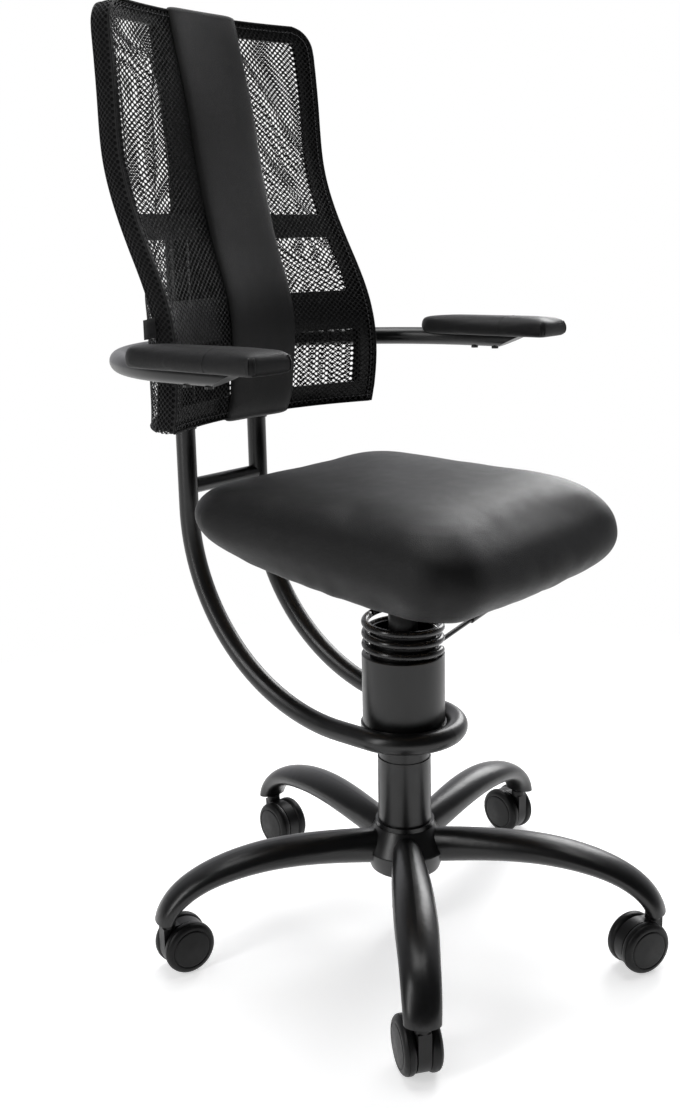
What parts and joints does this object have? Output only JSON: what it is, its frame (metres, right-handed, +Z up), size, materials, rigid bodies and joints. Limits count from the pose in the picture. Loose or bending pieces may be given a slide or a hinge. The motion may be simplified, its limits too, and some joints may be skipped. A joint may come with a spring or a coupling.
{
  "type": "balance chair",
  "caption": "Active task chair with a padded seat tipping on a coil spring, bent-tube frame, mesh back with leather strip, armrests, gas column and caster base.",
  "frame": {"origin": "on the floor, on the axis of the gas column", "axes": "+Z up; the sitter faces -Y; +X is the sitter's left"},
  "size_m": [0.6239, 0.6561, 1.1202],
  "materials": {
    "black_coat": "satin powder coat",
    "spring_coat": "satin coat on spring wire",
    "bright_steel": "turned steel",
    "black_plastic": "moulded, fine grain",
    "wheel_black": "soft tread on a moulded disc",
    "ply": "moulded plywood",
    "black_leather": "fine grain, soft sheen",
    "black_mesh": "open spacer mesh"
  },
  "bodies": {
    "base": {"base_hub": "black_coat", "base_arms": "black_coat", "caster_sockets": "black_plastic", "column_tube": "black_coat", "column_collar": "black_coat", "column_sleeve": "black_coat", "guide_bush": "black_plastic", "thrust_bearing": "bright_steel"},
    "piston": {"piston_rod": "bright_steel"},
    "carrier": {"gas_cylinder": "bright_steel", "inner_sleeve": "black_coat", "spring_cup": "black_coat", "joint_plate": "black_coat", "lever_pin": "bright_steel", "back_tube": "black_coat", "frame_crossbar": "black_coat", "spring": "spring_coat"},
    "button": {"release_button": "bright_steel"},
    "lever": {"release_lever": "black_coat"},
    "cross": {"joint_cross": "bright_steel"},
    "seat": {"seat_post": "black_coat", "seat_hub": "black_coat", "seat_plate": "black_coat", "seat_bolts": "bright_steel", "seat_pan": "ply", "seat_cushion": "black_leather"},
    "back": {"back_sockets": "black_coat", "back_rim": "black_coat", "mesh_front": "black_mesh", "mesh_rear": "black_mesh", "mesh_border": "black_mesh", "back_strip": "black_leather", "side_tag": "black_mesh", "armrest_tube": "black_coat", "armrest_lugs": "black_coat", "armrest_pad_left": "black_leather", "armrest_pad_right": "black_leather", "pad_screws": "bright_steel"},
    "caster_right_rear": {"caster_right_rear_housing": "black_plastic", "caster_right_rear_pins": "bright_steel"},
    "caster_right_rear_wheel_a": {"caster_right_rear_wheel_a": "wheel_black"},
    "caster_right_rear_wheel_b": {"caster_right_rear_wheel_b": "wheel_black"},
    "caster_left_rear": {"caster_left_rear_housing": "black_plastic", "caster_left_rear_pins": "bright_steel"},
    "caster_left_rear_wheel_a": {"caster_left_rear_wheel_a": "wheel_black"},
    "caster_left_rear_wheel_b": {"caster_left_rear_wheel_b": "wheel_black"},
    "caster_left_side": {"caster_left_side_housing": "black_plastic", "caster_left_side_pins": "bright_steel"},
    "caster_left_side_wheel_a": {"caster_left_side_wheel_a": "wheel_black"},
    "caster_left_side_wheel_b": {"caster_left_side_wheel_b": "wheel_black"},
    "caster_front": {"caster_front_housing": "black_plastic", "caster_front_pins": "bright_steel"},
    "caster_front_wheel_a": {"caster_front_wheel_a": "wheel_black"},
    "caster_front_wheel_b": {"caster_front_wheel_b": "wheel_black"},
    "caster_right_side": {"caster_right_side_housing": "black_plastic", "caster_right_side_pins": "bright_steel"},
    "caster_right_side_wheel_a": {"caster_right_side_wheel_a": "wheel_black"},
    "caster_right_side_wheel_b": {"caster_right_side_wheel_b": "wheel_black"}
  },
  "joints": [
    {"name": "swivel", "type": "hinge", "parent": "base", "child": "piston", "pos_m": [0, 0, 0.0335], "axis": [0, 0, 1], "continuous": true},
    {"name": "height", "type": "slide", "parent": "piston", "child": "carrier", "axis": [0, 0, 1], "range_m": [-0.018, 0.055]},
    {"name": "lever_lift", "type": "hinge", "parent": "carrier", "child": "lever", "pos_m": [0.03, 0, 0.34622], "axis": [0, -1, 0], "range_deg": [0, 6], "stiffness_Nm_per_rad": 1.2, "springref_deg": -11.46},
    {"name": "button_press", "type": "slide", "parent": "carrier", "child": "button", "axis": [0, 0, 1], "range_m": [-0.0042, 0], "stiffness_N_per_m": 400, "springref_m": 0.004},
    {"name": "side_tilt", "type": "hinge", "parent": "carrier", "child": "cross", "pos_m": [0, 0, 0.3705], "axis": [0, 1, 0], "range_deg": [-6, 6], "stiffness_Nm_per_rad": 300, "deforming": ["spring"]},
    {"name": "fore_tilt", "type": "hinge", "parent": "cross", "child": "seat", "pos_m": [0, 0, 0.3705], "axis": [1, 0, 0], "range_deg": [-6, 6], "stiffness_Nm_per_rad": 300, "deforming": ["spring"]},
    {"name": "back_height", "type": "slide", "parent": "carrier", "child": "back", "axis": [0, 0, 1], "range_m": [-0.03, 0.05]},
    {"name": "swivel_right_rear", "type": "hinge", "parent": "base", "child": "caster_right_rear", "pos_m": [0.29918, 0.02213, 0.0735], "axis": [0, 0, 1], "continuous": true},
    {"name": "roll_right_rear_a", "type": "hinge", "parent": "caster_right_rear", "child": "caster_right_rear_wheel_a", "pos_m": [0.30303, 0.04175, 0.031], "axis": [-0.9813, 0.1925, 0], "continuous": true},
    {"name": "roll_right_rear_b", "type": "hinge", "parent": "caster_right_rear", "child": "caster_right_rear_wheel_b", "pos_m": [0.30303, 0.04175, 0.031], "axis": [-0.9813, 0.1925, 0], "continuous": true},
    {"name": "swivel_left_rear", "type": "hinge", "parent": "base", "child": "caster_left_rear", "pos_m": [0.07141, 0.29138, 0.0735], "axis": [0, 0, 1], "continuous": true},
    {"name": "roll_left_rear_a", "type": "hinge", "parent": "caster_left_rear", "child": "caster_left_rear_wheel_a", "pos_m": [0.0678, 0.27171, 0.031], "axis": [0.9836, -0.1805, 0], "continuous": true},
    {"name": "roll_left_rear_b", "type": "hinge", "parent": "caster_left_rear", "child": "caster_left_rear_wheel_b", "pos_m": [0.0678, 0.27171, 0.031], "axis": [0.9836, -0.1805, 0], "continuous": true},
    {"name": "swivel_left_side", "type": "hinge", "parent": "base", "child": "caster_left_side", "pos_m": [-0.25505, 0.15795, 0.0735], "axis": [0, 0, 1], "continuous": true},
    {"name": "roll_left_side_a", "type": "hinge", "parent": "caster_left_side", "child": "caster_left_side_wheel_a", "pos_m": [-0.23601, 0.15184, 0.031], "axis": [0.3057, 0.9521, 0], "continuous": true},
    {"name": "roll_left_side_b", "type": "hinge", "parent": "caster_left_side", "child": "caster_left_side_wheel_b", "pos_m": [-0.23601, 0.15184, 0.031], "axis": [0.3057, 0.9521, 0], "continuous": true},
    {"name": "swivel_front", "type": "hinge", "parent": "base", "child": "caster_front", "pos_m": [-0.22904, -0.19376, 0.0735], "axis": [0, 0, 1], "continuous": true},
    {"name": "roll_front_a", "type": "hinge", "parent": "caster_front", "child": "caster_front_wheel_a", "pos_m": [-0.21728, -0.17758, 0.031], "axis": [-0.809, 0.5878, 0], "continuous": true},
    {"name": "roll_front_b", "type": "hinge", "parent": "caster_front", "child": "caster_front_wheel_b", "pos_m": [-0.21728, -0.17758, 0.031], "axis": [-0.809, 0.5878, 0], "continuous": true},
    {"name": "swivel_right_side", "type": "hinge", "parent": "base", "child": "caster_right_side", "pos_m": [0.1135, -0.2777, 0.0735], "axis": [0, 0, 1], "continuous": true},
    {"name": "roll_right_side_a", "type": "hinge", "parent": "caster_right_side", "child": "caster_right_side_wheel_a", "pos_m": [0.09545, -0.26909, 0.031], "axis": [-0.4305, -0.9026, 0], "continuous": true},
    {"name": "roll_right_side_b", "type": "hinge", "parent": "caster_right_side", "child": "caster_right_side_wheel_b", "pos_m": [0.09545, -0.26909, 0.031], "axis": [-0.4305, -0.9026, 0], "continuous": true}
  ],
  "couplings": [
    {"joint": "button_press", "follows": "lever_lift", "m_per_rad": -0.037}
  ]
}
